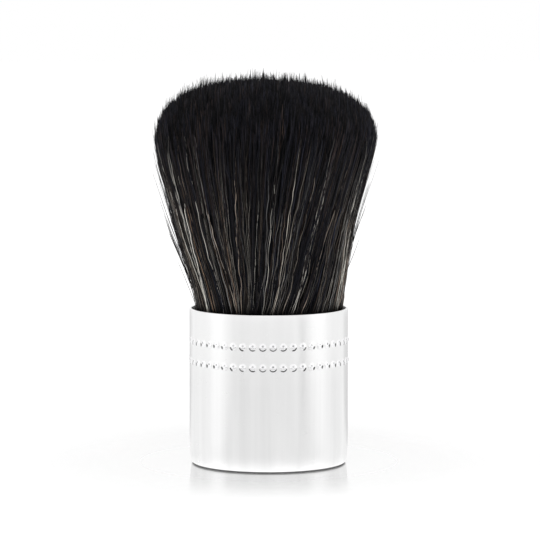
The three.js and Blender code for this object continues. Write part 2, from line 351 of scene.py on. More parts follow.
def beadField(angle, height):
    # distance from the nearest bead's middle along the wall, the way there, sideways and up, and its number
    pitch = 2 * np.pi / cup["beadsPerRow"]
    steps = (angle - np.radians(cup["beadPhase"])) / pitch
    rows = np.array(cup["beadRows"])
    row = np.abs(height[..., None] - rows).argmin(-1)
    up = height - rows[row]
    across = (steps - np.round(steps)) * pitch * cup["radius"]
    number = np.round(steps).astype(int) % cup["beadsPerRow"] + row * cup["beadsPerRow"]
    return np.hypot(across, up), across, up, number


def paintedCreaseShade(angle, distance, across, up):
    # painted shade in a ring round the foot of each bead, kept within an arc: wide and straight below
    # the front beads, short and swung to the side round the cup; the ring grows by aside^2
    aside = np.sin(angle + np.pi / 2)
    width = cup["creaseWidth"] * (1 + cup["creaseGrowth"] * aside ** 2)
    ring = 1 - smoothStep(0.5, 1.0, np.abs(distance - cup["creaseMiddle"]) / width)
    swing = np.clip(cup["creaseSwing"] * aside, -cup["creaseMost"], cup["creaseMost"])
    along = (across * np.sin(swing) - up * np.cos(swing)) / np.maximum(distance, cup["nearly"])
    wide, short = cup["creaseArc"]
    arc = wide + (short - wide) * smoothStep(0, cup["arcTurn"], np.abs(aside))
    return ring * smoothStep(0, 0.5, (along - arc) / (1 - arc))


def makeCup():
    # the turned wall, pushed out within a bead's radius r of its middle by
    # rise * (1 - 0.6 * (d / r)^2 - 0.4 * (d / r)^4), less the small dimple that the tool has left in it
    profile = cupProfile()
    rows, columns = len(profile), cup["columns"]
    grid = turnedGrid(profile, columns)
    angle, radius, height = np.broadcast_arrays(roundAngles(columns), profile[:, :1], profile[:, 1:])
    distance, across, up, bead = beadField(angle, height)
    beads = len(cup["beadRows"]) * cup["beadsPerRow"]
    # painted shade: each bead's crease ring has its own strength
    inCrease = rng.uniform(*cup["paintedCreaseShade"], beads)[bead]
    # painted reflection: each bead's dark dot in its dimple has its own strength
    inDimple = rng.uniform(*cup["paintedDotStrength"], beads)[bead]
    outside = radius > cup["radius"] - cup["nearly"]
    share = np.clip(distance / cup["beadRadius"], 0, 1)
    fromDimple = np.hypot(across, up - cup["dimpleUp"]) / cup["dimpleRadius"]
    dimple = 1 - smoothStep(cup["dimpleFlat"], 1.0, fromDimple)
    dome = 1 - 0.6 * share ** 2 - 0.4 * share ** 4
    rise = (cup["beadRise"] * dome - cup["dimpleDepth"] * dimple) * outside
    grid[..., 0] += rise * np.cos(angle)
    grid[..., 1] += rise * np.sin(angle)
    poles = np.array([[0, 0, 0.0], [0, 0, cup["floor"]]])
    points = np.concatenate([grid.reshape(-1, 3), poles])
    quads, fans = turnedFaces(rows, columns)
    piece = meshPiece("cup_shell", points, [quads, fans], satinTurnedAluminium(),
                      ["ferrule_cup"])
    # the beads' own faces have the burnished finish
    piece.data.materials.append(burnishedBead())
    onBead = (share < cup["burnished"]) & outside
    nextOnBead = np.roll(onBead, -1, 1)
    onFace = onBead[:-1] & onBead[1:] & nextOnBead[:-1] & nextOnBead[1:]
    finish = np.concatenate([onFace.ravel(), np.zeros(len(fans), bool)]).astype(np.int32)
    piece.data.polygons.foreach_set("material_index", finish)
    # painted shade in the creases under the beads, a painted dark reflection in each dimple, and a painted
    # shadow line where the foot turns under
    paintedMarks = np.maximum(paintedCreaseShade(angle, distance, across, up) * inCrease, dimple * inDimple) * outside
    # painted shadow: a dark line where the foot turns under
    atFoot = radius > cup["radius"] - cup["paintedFootShadowReach"]
    paintedFootShadow = (1 - smoothStep(*cup["paintedFootShadow"], height)) * atFoot
    paintedDarkShare = np.concatenate([np.maximum(paintedMarks, paintedFootShadow).ravel(), np.zeros(len(poles))])
    setAttribute(piece, "paintedDarkShare", "FLOAT", paintedDarkShare)
    turning = np.concatenate([gridMap(rows, columns).reshape(-1, 2), np.zeros((fans.size, 2))])
    setCornerMap(piece, "turning", turning)
    print("cup:", len(quads) * 2 + len(fans), "triangles")


# Hair

tuft = {
    "rootHeight": 20.0, "mouthHeight": 28.0, "mouthRadius": 13.05, "bundleSlope": 0.06,
    "flare": 0.167, "flareGrowth": 0.0022, "curlFrom": 53.0, "curlIn": 0.78,
    "shoulder": 59.6, "domeRadius": 19.5, "domeRise": 9.75, "domePower": 2.65,
    "tilt": -0.010, "tiltHeight": (48, 62), "lean": -0.76, "leanHeight": (29, 44),
    "leanBack": 0.28, "leanBackHeight": (52, 61), "combSpread": 0.22, "combSkew": 0.35, "combReach": 20.0,
    "waveStart": 0.15, "inOut": 0.35, "inOutPeriod": 1.31, "inOutPhase": 2.1, "driftPivot": 0.4,
    "leastRadius": 4.0, "sides": 3, "goldenTurn": math.radians(137.508),
}


def bundleRadius(z):
    # straight bundle in the cup, then a flare that opens more and more, whose ends curl in a little:
    # mouth + flare * h + growth * h^2 - curl * (height above its start / its whole height)^2
    rise = z - tuft["mouthHeight"]
    curled = np.maximum(0, z - tuft["curlFrom"]) / (tuft["shoulder"] - tuft["curlFrom"])
    opened = (tuft["flare"] + tuft["flareGrowth"] * rise) * rise
    straight = tuft["bundleSlope"] * rise
    return tuft["mouthRadius"] + np.where(rise > 0, opened, straight) - tuft["curlIn"] * curled ** 2


def crownHeight(share):
    # where a hair at this share of the bundle meets the cut dome: shoulder + rise * sqrt(1 - (r / R)^power)
    z = np.full_like(share, tuft["shoulder"])
    for _ in range(12):
        reach = np.clip(share * bundleRadius(z) / tuft["domeRadius"], 0, 1)
        z = tuft["shoulder"] + tuft["domeRise"] * np.sqrt(1 - reach ** tuft["domePower"])
    return z


def leaned(points):
    # the whole head leans a little to one side above the mouth, and part of the way back at its shoulder,
    # and its cut top is tilted to the same side
    z = points[..., 2]
    points[..., 2] += tuft["tilt"] * points[..., 0] * smoothStep(*tuft["tiltHeight"], z)
    points[..., 0] += tuft["lean"] * smoothStep(*tuft["leanHeight"], z)
    points[..., 0] += tuft["leanBack"] * smoothStep(*tuft["leanBackHeight"], z)
    return points


def combed(z, angle):
    # how far the hair has been combed apart at height z, along the round of the tuft:
    # spread * (sin(2 * angle from the front + skew) + sin(skew)) * a height that levels off
    front = angle + np.pi / 2
    climb = 1 - np.exp(-np.maximum(0, z - tuft["mouthHeight"]) / tuft["combReach"])
    apart = np.sin(2 * front + tuft["combSkew"]) + math.sin(tuft["combSkew"])
    return tuft["combSpread"] * apart * (tuft["combReach"] * climb)


def hairLines(share, angle, bottom, top, t, wave, drift, surfacing=0.0):
    # r = share * bundle radius at height z, at the tip's angle less the combing still to come, and two slow
    # waves: wave is (width, period, phase), drift a stray sideways, surfacing the share gained going up
    z = bottom[:, None] + (top - bottom)[:, None] * t
    gain = np.reshape(surfacing, (-1, 1)) * (t - 1)
    radius = (share[:, None] + gain) * bundleRadius(z)
    width, period, phase = (column[:, None] for column in wave)
    swing = width * smoothStep(0, tuft["waveStart"], t)
    comb = combed(z, angle[:, None]) - combed(top, angle)[:, None]
    waved = swing * np.sin(2 * np.pi * z / period + phase)
    sideways = comb + waved + drift[:, None] * (t - tuft["driftPivot"])
    slow = np.sin(2 * np.pi * z / (tuft["inOutPeriod"] * period) + tuft["inOutPhase"] * phase)
    turn = angle[:, None] + sideways / np.maximum(radius, tuft["leastRadius"])
    radius = radius + tuft["inOut"] * swing * slow
    return np.stack([radius * np.cos(turn), radius * np.sin(turn), z], -1)


def tubeBundle(lines, radii):
    # a tube of few sides along every line: corner = point + radius * (cos a * outward + sin a * across)
    hairs, steps, _ = lines.shape
    sides = tuft["sides"]
    along = unit(np.gradient(lines, axis=1))
    outward = np.concatenate([lines[..., :2], np.zeros((hairs, steps, 1))], -1) + [1e-6, 0, 0]
    across = unit(np.cross(along, unit(outward)))
    outward = np.cross(across, along)
    a = rng.uniform(0, 2 * np.pi, (hairs, 1, 1)) + roundAngles(sides)
    ring = np.cos(a)[..., None] * outward[:, :, None] + np.sin(a)[..., None] * across[:, :, None]
    points = lines[:, :, None] + radii[..., None, None] * ring
    low = (np.arange(hairs)[:, None] * steps + np.arange(steps - 1))[..., None] * sides
    high = low + sides
    here = np.arange(sides)
    after = (here + 1) % sides
    quads = np.stack([low + here, low + after, high + after, high + here], -1).reshape(-1, 4)
    foot = np.arange(hairs)[:, None] * steps * sides
    caps = np.concatenate([foot + here[::-1], foot + (steps - 1) * sides + here])
    return points.reshape(-1, 3), quads, caps


def hairCells(hairs, steps):
    # each hair has a small square of the bake map: across it round the hair, up it along the hair,
    # with the two end faces in opposite corners
    margin, room, tipPlace = 0.1, 0.8, 0.82
    across = math.ceil(math.sqrt(hairs))
    number = np.arange(hairs)
    cell = np.stack([number % across, number // across], -1)
    quadMap = cell[:, None, None, None] + margin + room * gridMap(steps, tuft["sides"])
    capShape = np.array([[0.0, 0.0], [0.1, 0.0], [0.05, 0.1]])
    footMap = cell[:, None] + margin + room * capShape
    tipMap = cell[:, None] + tipPlace + room * capShape
    return np.concatenate([part.reshape(-1, 2) for part in (quadMap, footMap, tipMap)]) / across


def makeHairs(name, pieces, lines, radii, strand, material, replaces):
    # tubes along the lines, in as many pieces as keep each one's triangles in bounds
    for part, chosen in enumerate(np.array_split(np.arange(len(lines)), pieces)):
        label = name if pieces == 1 else f"{name}_{part + 1}"
        points, quads, caps = tubeBundle(lines[chosen], radii[chosen])
        piece = meshPiece(label, leaned(points), [quads, caps], material, replaces)
        perCorner = np.repeat(strand[chosen].reshape(-1, 3), tuft["sides"], axis=0)
        setAttribute(piece, "strand", "FLOAT_VECTOR", perCorner)
        setCornerMap(piece, "OFBake", hairCells(len(chosen), lines.shape[1]))
        print(label + ":", len(chosen), "hairs,", len(quads) * 2 + len(caps), "triangles")


def taper(t, start, tip):
    # full width up to start, then a straight run down to the tip's share of it
    return 1 - (1 - tip) * np.clip((t - start) / (1 - start), 0, 1)


def strandValues(tone, lightness):
    # per point: the hair's own dye, how far it shows at that height, and nothing
    tone = np.broadcast_to(tone[:, None], lightness.shape)
    return np.stack([tone, lightness, np.zeros_like(lightness)], -1)


def hairWaves(kind, count):
    # (width, period, phase) for each hair
    width = rng.uniform(*kind["waveWidth"], count)
    period = rng.uniform(*kind["wavePeriod"], count)
    return width, period, rng.uniform(0, 2 * np.pi, count)


def skewed(least, more, power, count):
    # least + more * (an even draw)^power: many low values and a few high ones
    return least + more * rng.uniform(0, 1, count) ** power


def makeHairMass(material):
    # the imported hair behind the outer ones: the tuft's own shape drawn in, with a domed top, in shallow
    # locks: radius * (1 + the sum of size * sin(count * angle + phase))
    mass = {"share": 0.885, "drop": 2.4, "below": 2, "footShare": 0.3, "columns": 240, "sideRows": 40,
            "domeRows": 16, "domeTo": 86, "locks": ((0.008, 37, 0.0), (0.006, 61, 1.3)),
            "strand": (0.05, 0.12, 0.0)}
    low = tuft["rootHeight"] - mass["below"]
    top = tuft["shoulder"] - 0.5 * mass["drop"]
    rise = tuft["domeRise"] - mass["drop"]
    side = np.linspace(low, top, mass["sideRows"])
    dome = np.radians(np.linspace(0, mass["domeTo"], mass["domeRows"]))[1:]
    shoulderRadius = mass["share"] * bundleRadius(top)
    profile = np.concatenate([
        [(shoulderRadius * mass["footShare"], low)],
        np.stack([mass["share"] * bundleRadius(side), side], -1),
        np.stack([shoulderRadius * np.cos(dome), top + rise * np.sin(dome)], -1),
    ])
    rows, columns = len(profile), mass["columns"]
    grid = turnedGrid(profile, columns)
    angle = roundAngles(columns)
    locks = 1 + sum(size * np.sin(count * angle + phase) for size, count, phase in mass["locks"])
    grid[..., :2] *= locks[:, None]
    poles = np.array([[0, 0, low], [0, 0, top + rise]])
    points = leaned(np.concatenate([grid.reshape(-1, 3), poles]))
    quads, fans = turnedFaces(rows, columns)
    piece = meshPiece("hair_mass", points, [quads, fans], material, ["hair_core"])
    setAttribute(piece, "strand", "FLOAT_VECTOR", np.tile(mass["strand"], (len(points), 1)))
    print("hair mass:", len(quads) * 2 + len(fans), "triangles")


def makeCrown(material):
    # hairs of which only the ends show: small points spread over the dome like seeds on a sunflower,
    # at the square root of their share of the count, a golden turn apart
    crown = {"hairs": 24000, "pieces": 4, "length": 13.0, "steps": (0, 0.45, 0.75, 0.9, 1.0),
             "radius": 0.066, "radii": (0.75, 1.2), "taper": (0.8, 0.18), "loose": 0.05, "wander": 0.12,
             "waveWidth": (0.02, 0.10), "wavePeriod": (4, 9), "drift": 0.35, "leastShare": 0.004,
             "level": -1.2, "longBy": 0.29, "longest": 2.8, "proud": 0.05, "proudBy": 2.0, "uneven": 0.14,
             "clump": 0.75, "clumpSlant": 31, "clumpMiddle": (0.2, 0.8), "clumpBy": 0.29, "clumpPull": 0.5,
             "pullFrom": 0.6, "splay": 0.30, "splayFrom": 0.7,
             "patches": (300, 4), "patchBlur": 0.3, "patchLight": (0.015, 0.95, 5), "hairLight": (0.3, 1.0),
             "tipLight": (0, 2.0, 15), "rim": (0.88, 0.97), "rimLight": (0, 1.7, 8),
             "standing": (0.3, 1.8), "standingLight": 0.03, "tone": 0.2, "patchTone": 0.35}
    t = np.array(crown["steps"])
    count = crown["hairs"]
    number = np.arange(count)
    seedShare = np.sqrt((number + 0.5) / count)
    seedAngle = number * tuft["goldenTurn"]
    offset = rng.normal(0, crown["loose"] / tuft["domeRadius"], (count, 2))
    wander = rng.normal(0, crown["wander"] / tuft["domeRadius"], (count, 2))
    x, y = seedShare * [np.cos(seedAngle), np.sin(seedAngle)] + offset.T + wander.T
    share = np.clip(np.hypot(x, y), crown["leastShare"], 1.0)
    angle = np.arctan2(y, x)
    # ends that lie together form clumps on a slanting lattice, each with its own length;
    # places on it are complex numbers, and clumps on its far half are counted back from the end
    slant = np.exp(1j * math.radians(crown["clumpSlant"]))
    place = slant * (x + 1j * y) * tuft["domeRadius"] / crown["clump"]
    cell = np.floor(place.real).astype(int), np.floor(place.imag).astype(int)
    cells = 2 + 2 * math.ceil(1.5 * tuft["domeRadius"] / crown["clump"])
    middle = rng.uniform(*crown["clumpMiddle"], (cells, cells, 2))[cell]
    toMiddle = cell[0] + middle[:, 0] - place.real + 1j * (cell[1] + middle[:, 1] - place.imag)
    toMiddle = toMiddle * crown["clump"] / slant
    level = rng.exponential(crown["longBy"], count)
    level += rng.exponential(crown["clumpBy"], (cells, cells))[cell]
    # a few stand proud of the rest
    proud = rng.uniform(0, 1, count) < crown["proud"]
    level += proud * rng.uniform(0, crown["proudBy"], count)
    level = np.minimum(level, crown["longest"])
    top = crownHeight(share) + crown["level"] + level + rng.normal(0, crown["uneven"], count)
    wave = hairWaves(crown, count)
    drift = rng.normal(0, crown["drift"], count)
    lines = hairLines(share, angle, top - crown["length"], top, t, wave, drift)
    # towards its end each hair closes in on its clump's middle and bends outward
    gather = crown["clumpPull"] * smoothStep(crown["pullFrom"], 1.0, t)[None, :, None]
    lines[..., :2] += gather * np.stack([toMiddle.real, toMiddle.imag], -1)[:, None]
    bend = crown["splay"] / tuft["domeRadius"] * share[:, None] * smoothStep(crown["splayFrom"], 1.0, t)
    lines[..., :2] *= (1 + bend)[..., None]
    radii = crown["radius"] * rng.uniform(*crown["radii"], (count, 1)) * taper(t, *crown["taper"])
    # hairs that lie together share their dye: patches narrow round the tuft and long towards its middle
    rounds, depths = crown["patches"]
    roundPlace = angle / (2 * np.pi) * rounds + rng.normal(0, crown["patchBlur"], count)
    depthPlace = share * depths + rng.normal(0, crown["patchBlur"], count)
    patch = np.floor(roundPlace).astype(int) % rounds, np.clip(depthPlace, 0, depths - 1).astype(int)
    patchLight = skewed(*crown["patchLight"], crown["patches"])[patch]
    lightness = skewed(*crown["tipLight"], count)
    lightness += skewed(*crown["rimLight"], count) * smoothStep(*crown["rim"], share)
    lightness += patchLight * rng.uniform(*crown["hairLight"], count)
    lightness += crown["standingLight"] * smoothStep(*crown["standing"], level)
    tone = crown["tone"] * rng.uniform(0, 1, count)
    tone += crown["patchTone"] * rng.uniform(0, 1, crown["patches"])[patch]
    strand = strandValues(tone, lightness[:, None] * np.ones(len(t)))
    makeHairs("crown_hairs", crown["pieces"], lines, radii, strand, material, ["hair_core", "hair_inner"])


def makeSides(material):
    # hairs that show from the mouth of the cup to their tips, in locks that lie at different depths
    side = {"locks": 170, "perLock": 38, "pieces": 3, "steps": 16, "radius": 0.052, "radii": (0.75, 1.25),
            "taper": (0.85, 0.22), "depth": (0.885, 0.98), "depthSpread": 0.016, "outermost": 0.990,
            "outerSpread": 0.010, "lockWidth": 0.30, "widthAt": 16, "shorter": 0.9, "longBy": 0.4,
            "longest": 1.5, "outerShort": (0, 7), "outerShare": (0.94, 0.985), "waveWidth": (0.03, 0.17),
            "wavePeriod": (4, 11), "lockDrift": 0.8, "drift": 0.4, "lockSurfacing": (-0.02, 0.07),
            "surfacing": 0.02, "kinks": 0.03, "lockLight": (0.25, 0.75, 1.5), "leastLight": 0.06,
            "light": (0, 1.4, 5.2), "lightFrom": (27.5, 30.5), "fade": 0.45, "fadeHeight": (44, 63),
            "glints": (0.6, 1.4), "toneSpread": 0.45}
    t = np.linspace(0, 1, side["steps"])
    locks = side["locks"]
    lock = np.repeat(np.arange(locks), side["perLock"])
    count = len(lock)
    lockAngle = rng.uniform(0, 2 * np.pi, locks)
    lockShare = rng.uniform(*side["depth"], locks)
    lockTone = rng.uniform(0, 1, locks)
    lockLight = skewed(*side["lockLight"], locks)
    share = lockShare[lock] + rng.normal(0, side["depthSpread"], count)
    share = np.minimum(share, side["outermost"] - rng.exponential(side["outerSpread"], count))
    angle = lockAngle[lock] + rng.normal(0, side["lockWidth"] / side["widthAt"], count)
    top = crownHeight(share) - side["shorter"]
    top += np.minimum(rng.exponential(side["longBy"], count), side["longest"])
    top -= rng.uniform(*side["outerShort"], count) * smoothStep(*side["outerShare"], share)
    bottom = np.full(count, tuft["rootHeight"])
    wave = hairWaves(side, count)
    drift = rng.normal(0, side["lockDrift"], locks)[lock] + rng.normal(0, side["drift"], count)
    surfacing = rng.uniform(*side["lockSurfacing"], locks)[lock] + rng.normal(0, side["surfacing"], count)
    lines = hairLines(share, angle, bottom, top, t, wave, drift, surfacing)
    lines += rng.normal(0, side["kinks"], lines.shape) * [1, 1, 0]
    radii = side["radius"] * rng.uniform(*side["radii"], (count, 1)) * taper(t, *side["taper"])
    # near black below the mouth, a painted shade, and less towards the tips: a few hairs of each lock show
    # their dye in full, with painted glints that change along each hair
    z = lines[..., 2]
    shown = smoothStep(*side["lightFrom"], z) * (1 - side["fade"] * smoothStep(*side["fadeHeight"], z))
    hairLight = side["leastLight"] + lockLight[lock] * skewed(*side["light"], count)
    lightness = shown * hairLight[:, None] * rng.uniform(*side["glints"], shown.shape)
    tone = np.clip(lockTone[lock] + rng.normal(0, side["toneSpread"], count), 0, 1)
    strand = strandValues(tone, lightness)
    makeHairs("side_hairs", side["pieces"], lines, radii, strand, material, ["hair_middle", "hair_outer"])


def makePale(material):
    # paler hairs on the very outside, wavier than the rest: a few bright, more middling, most of them dim;
    # many lie together in locks, and two full locks of them stand at the sides of the front
    pale = {"kinds": ((44, 1.0, 1.7), (125, 0.22, 0.8), (160, 0.12, 0.35)), "pieces": 2, "steps": 25,
            "locks": 48, "inLocks": 0.45, "lockWidth": 0.08,
            "fullLocks": ((-57, (0.34, 0.43), (0.8, 2.5)), (66, (0.1, 0.45), (0.5, 1.5))), "perFullLock": 4,
            "fullWidth": 0.018, "fullRadius": 0.002, "fullDrift": 3.4, "drift": 1.1,
            "share": (0.998, 1.015), "surfacing": (-0.004, 0.006), "tips": (50, 69), "belowCrown": 0.4,
            "belowMouth": 1.0, "waveWidth": (0.03, 0.15), "wavePeriod": (3.5, 10.0), "kinks": 0.035,
            "radius": 0.021, "wider": 0.025, "taper": (0.75, 0.25),
            "dip": 0.012, "dipFrom": 0.1, "dipPeriod": (14, 40), "phases": (0, 6.28),
            "lightFrom": (27.6, 29.5), "fade": (0.05, 0.85), "fadeHeight": (41, 68),
            "glow": 0.75, "glowSwing": 0.25, "glowPeriod": (5, 14), "glints": (0.55, 1.3),
            "ending": 0.65, "endingFrom": 0.6}
    t = np.linspace(0, 1, pale["steps"])
    strength = np.concatenate([rng.uniform(low, high, number) for number, low, high in pale["kinds"]])
    rng.shuffle(strength)
    loose = len(strength)
    # hairs and locks stand one to each equal slice of the round, anywhere within it
    angle = (np.arange(loose) + rng.uniform(0, 1, loose)) / loose * 2 * np.pi
    lock = (np.arange(pale["locks"]) + rng.uniform(0, 1, pale["locks"])) / pale["locks"] * 2 * np.pi
    lock = lock[rng.integers(0, pale["locks"], loose)]
    gathered = rng.uniform(0, 1, loose) < pale["inLocks"]
    angle = np.where(gathered, lock + rng.normal(0, pale["lockWidth"], loose), angle)
    tone = rng.uniform(0, 1, loose)
    for bearing, tones, strengths in pale["fullLocks"]:
        full = math.radians(bearing - 90) + rng.normal(0, pale["fullWidth"], pale["perFullLock"])
        angle = np.concatenate([angle, full])
        strength = np.concatenate([strength, rng.uniform(*strengths, pale["perFullLock"])])
        tone = np.concatenate([tone, rng.uniform(*tones, pale["perFullLock"])])
    count = len(strength)
    inFullLock = np.arange(count) >= loose
    share = rng.uniform(*pale["share"], count)
    top = np.minimum(crownHeight(share) - pale["belowCrown"], rng.uniform(*pale["tips"], count))
    bottom = np.full(count, tuft["mouthHeight"] - pale["belowMouth"])
    drift = rng.normal(0, np.where(inFullLock, pale["fullDrift"], pale["drift"]))
    # the angle is the hair's at the mouth: what combing and drift add on the way up comes on top
    angle = angle + (combed(top, angle) + tuft["driftPivot"] * drift) / bundleRadius(top)
    wave = hairWaves(pale, count)
    surfacing = rng.uniform(*pale["surfacing"], count)
    lines = hairLines(share, angle, bottom, top, t, wave, drift, surfacing)
    lines += rng.normal(0, pale["kinks"], lines.shape) * [1, 1, 0]

    def swell(periods):
        # a slow sine along each hair, with its own period and phase
        period = rng.uniform(*periods, (count, 1))
        return np.sin(2 * np.pi * lines[..., 2] / period + rng.uniform(*pale["phases"], (count, 1)))

    # now and then each one dips under its neighbours
    dip = smoothStep(pale["dipFrom"], 1.0, swell(pale["dipPeriod"]))
    lines[..., :2] *= 1 - pale["dip"] * dip[..., None]
    thick = pale["radius"] + pale["wider"] * strength + pale["fullRadius"] * inFullLock
    radii = thick[:, None] * taper(t, *pale["taper"])
    # each fades by its own share on the way up and is near black below the mouth, a painted shade; its slow
    # swells and quick glints are painted highlights
    z = lines[..., 2]
    fade = rng.uniform(*pale["fade"], (count, 1)) * smoothStep(*pale["fadeHeight"], z)
    shown = smoothStep(*pale["lightFrom"], z) * (1 - fade)
    slow = pale["glow"] + pale["glowSwing"] * swell(pale["glowPeriod"])
    slow = slow * rng.uniform(*pale["glints"], z.shape)
    ending = 1 - pale["ending"] * smoothStep(pale["endingFrom"], 1.0, t)
    strand = strandValues(tone, shown * slow * ending * strength[:, None])
    makeHairs("pale_hairs", pale["pieces"], lines, radii, strand, material, ["hair_outer"])


def makeStrays(material):
    # hairs that part from the sides in wisps and stand further off towards their ends:
    # away = reach * (height above the parting / length above it)^0.7
    stray = {"wisps": 170, "perWisp": 5, "steps": 14, "radius": 0.05, "radii": (0.6, 1.2),
             "taper": (0.6, 0.5), "part": (28.5, 53.0), "partSpread": 1.5, "below": 2, "length": (8.0, 24.0),
             "lengthSpread": 2.0, "shortest": 6, "highest": (54.0, 61.5), "share": 0.99, "angleSpread": 0.03,
             "waveWidth": (0.05, 0.2), "wavePeriod": (5, 16), "drift": 0.8, "reach": (0, 2.0, 1.3),
             "leastReach": 0.15, "reachSpread": 0.15, "awayPower": 0.7, "widest": 20.7, "room": (0.1, 1.0),
             "lightness": 0.3}
    t = np.linspace(0, 1, stray["steps"])
    count = stray["wisps"] * stray["perWisp"]

    def perWisp(values, spread):
        # the wisp's own value plus a normal spread between its hairs
        return np.repeat(values, stray["perWisp"]) + rng.normal(0, spread, count)

    part = perWisp(rng.uniform(*stray["part"], stray["wisps"]), stray["partSpread"])
    part = np.maximum(stray["part"][0], part)
    length = perWisp(rng.uniform(*stray["length"], stray["wisps"]), stray["lengthSpread"])
    top = part + np.maximum(stray["shortest"], length)
    top = np.minimum(top, rng.uniform(*stray["highest"], count))
    share = np.full(count, stray["share"])
    angle = perWisp(rng.uniform(0, 2 * np.pi, stray["wisps"]), stray["angleSpread"])
    wave = hairWaves(stray, count)
    drift = rng.normal(0, stray["drift"], count)
    lines = hairLines(share, angle, part - stray["below"], top, t, wave, drift)
    # none reaches past the widest radius
    room = (stray["widest"] - bundleRadius(top)) * rng.uniform(*stray["room"], count)
    reach = perWisp(skewed(*stray["reach"], stray["wisps"]), stray["reachSpread"])
    reach = np.minimum(np.maximum(stray["leastReach"], reach), room)
    climb = np.maximum(0, lines[..., 2] - part[:, None]) / (top - part)[:, None]
    radius = np.linalg.norm(lines[..., :2], axis=-1)
    lines[..., :2] *= 1 + (reach[:, None] * climb ** stray["awayPower"] / radius)[..., None]
    radii = stray["radius"] * rng.uniform(*stray["radii"], (count, 1)) * taper(t, *stray["taper"])
    strand = strandValues(rng.uniform(0, 1, count), np.full(lines.shape[:2], stray["lightness"]))
    makeHairs("stray_hairs", 1, lines, radii, strand, material, ["hair_outer"])


def makeTuft():
    # dyes run from blue black over brown to grey, and on the pale hairs from cream over tan to silver
    blackHair = dyedHair("blackDyedHair", {
        "dyes": [(0.0, "#2b2c38"), (0.3, "#3a3a44"), (0.55, "#5a4a40"), (0.75, "#575658"), (1.0, "#4f5467")],
        "nearBlack": "#070709", "roughness": 0.55, "specular": 0.12})
    paleHair = dyedHair("paleUndyedHair", {
        "dyes": [(0.0, "#c6bcae"), (0.25, "#e6e0d6"), (0.4, "#f8f4ea"), (0.6, "#ab8c73"), (0.8, "#b3aca4"),
                 (1.0, "#c3c8d0")],
        "nearBlack": "#070709", "roughness": 0.42, "specular": 0.25})
    makeHairMass(blackHair)
    makeCrown(blackHair)
    makeSides(blackHair)
    makePale(paleHair)
    makeStrays(blackHair)


# Pieces inside the cup keep their CAD shape

def finishInside():
    # finish, light and dark colour, patch and bump depth in millimetres, roughness, metallic: a dull black
    # sleeve with its mould's grain, a slug with the grey clouds of thin zinc, glossy amber resin of uneven
    # depth, and matt cord with the lumps of its fibres
    finishes = {
        "knot_insert": ("mouldedBlackAbs", "#121214", "#0b0b0d", 0.4, 0.01, 0.5, 0.0),
        "ballast_slug": ("zincedPunchedSteel", "#a3a5a8", "#84878b", 1.2, 0.01, 0.42, 1.0),
        "potting_disc": ("pouredAmberResin", "#9a7f48", "#7d6433", 3.0, 0.01, 0.2, 0.0),
        "binding_cord": ("waxedLinenCord", "#ddd6c6", "#bdb29c", 0.25, 0.04, 0.75, 0.0),
    }
    for name, finish in finishes.items():
        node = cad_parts[name]
        node.data.materials.clear()
        node.data.materials.append(mottledMaterial(*finish))
    print("inside:", ", ".join(finishes))


# Stage, light and camera

def makeStage():
    # white board: keeps the brush's shadow and mirrors its foot, less and less away from it
    stage = {"half": 3000.0, "drop": 0.02, "paper": "#f4f4f4", "mirror": "#fcfcfc", "mirrorRoughness": 0.05}
    # what changes between two distances from the axis, from one value to another: the lift keeps the board
    # white to the eye out of the lamps' reach, and the metal shows it brightest at its foot and far off
    fades = {"lift": ("LINEAR", (30.0, 200.0), (0.16, 0.30)),
             "footShine": ("LINEAR", (15.0, 20.0), (0.7, 0.05)),
             "farShine": ("LINEAR", (80.0, 200.0), (0.0, 0.11)),
             "mirror": ("SMOOTHSTEP", (20.0, 44.0), (1.8, 0.0))}
    half, level = stage["half"] * mm, -stage["drop"] * mm
    corners = [(-half, -half, level), (half, -half, level), (half, half, level), (-half, half, level)]
    mesh = bpy.data.meshes.new("paper_floor")
    mesh.from_pydata(corners, [], [(0, 1, 2, 3)])
    material, tree = newMaterial("coatedWhiteBoard")
    matt = addNode(tree, "BsdfDiffuse", {"Color": linearColour(stage["paper"])})
    place = addNode(tree, "TexCoord").outputs["Object"]
    distance = addNode(tree, "VectorMath", {"operation": "LENGTH"}, {0: place}).outputs["Value"]
    path = addNode(tree, "LightPath")
    faded = {}
    for name, (curve, (near, far), (first, last)) in fades.items():
        span = {"From Min": near * mm, "From Max": far * mm, "To Min": first, "To Max": last}
        faded[name] = addNode(tree, "MapRange", {"interpolation_type": curve, **span}, {"Value": distance})
    toEye = addNode(tree, "Math", {"operation": "MULTIPLY"},
                    {0: faded["lift"], 1: path.outputs["Is Camera Ray"]})
    shine = addNode(tree, "Math", {"operation": "ADD"}, {0: faded["footShine"], 1: faded["farShine"]})
    once = addNode(tree, "MapRange", {"From Min": 1.0, "From Max": 2.0, "To Max": 0.0},
                   {"Value": path.outputs["Glossy Depth"], "To Min": path.outputs["Is Glossy Ray"]})
    strength = addNode(tree, "Math", {"operation": "MULTIPLY_ADD"}, {0: shine, 1: once, 2: toEye})
    glow = addNode(tree, "Emission", links={"Strength": strength})
    paper = addNode(tree, "AddShader", links={0: matt, 1: glow})
    gloss = addNode(tree, "BsdfGlossy",
                    {"Roughness": stage["mirrorRoughness"], "Color": linearColour(stage["mirror"])})
    lowAngle = addNode(tree, "Fresnel", {"IOR": 1.5})
    share = addNode(tree, "Math", {"operation": "MULTIPLY", "use_clamp": True},
                    {0: faded["mirror"], 1: lowAngle})
    board = addNode(tree, "MixShader", links={0: share, 1: paper, 2: gloss})
    mesh.materials.append(finishMaterial(material, board))
    floor = addObject("paper_floor", mesh)
    print("stage: white board", 2 * stage["half"], "mm wide")


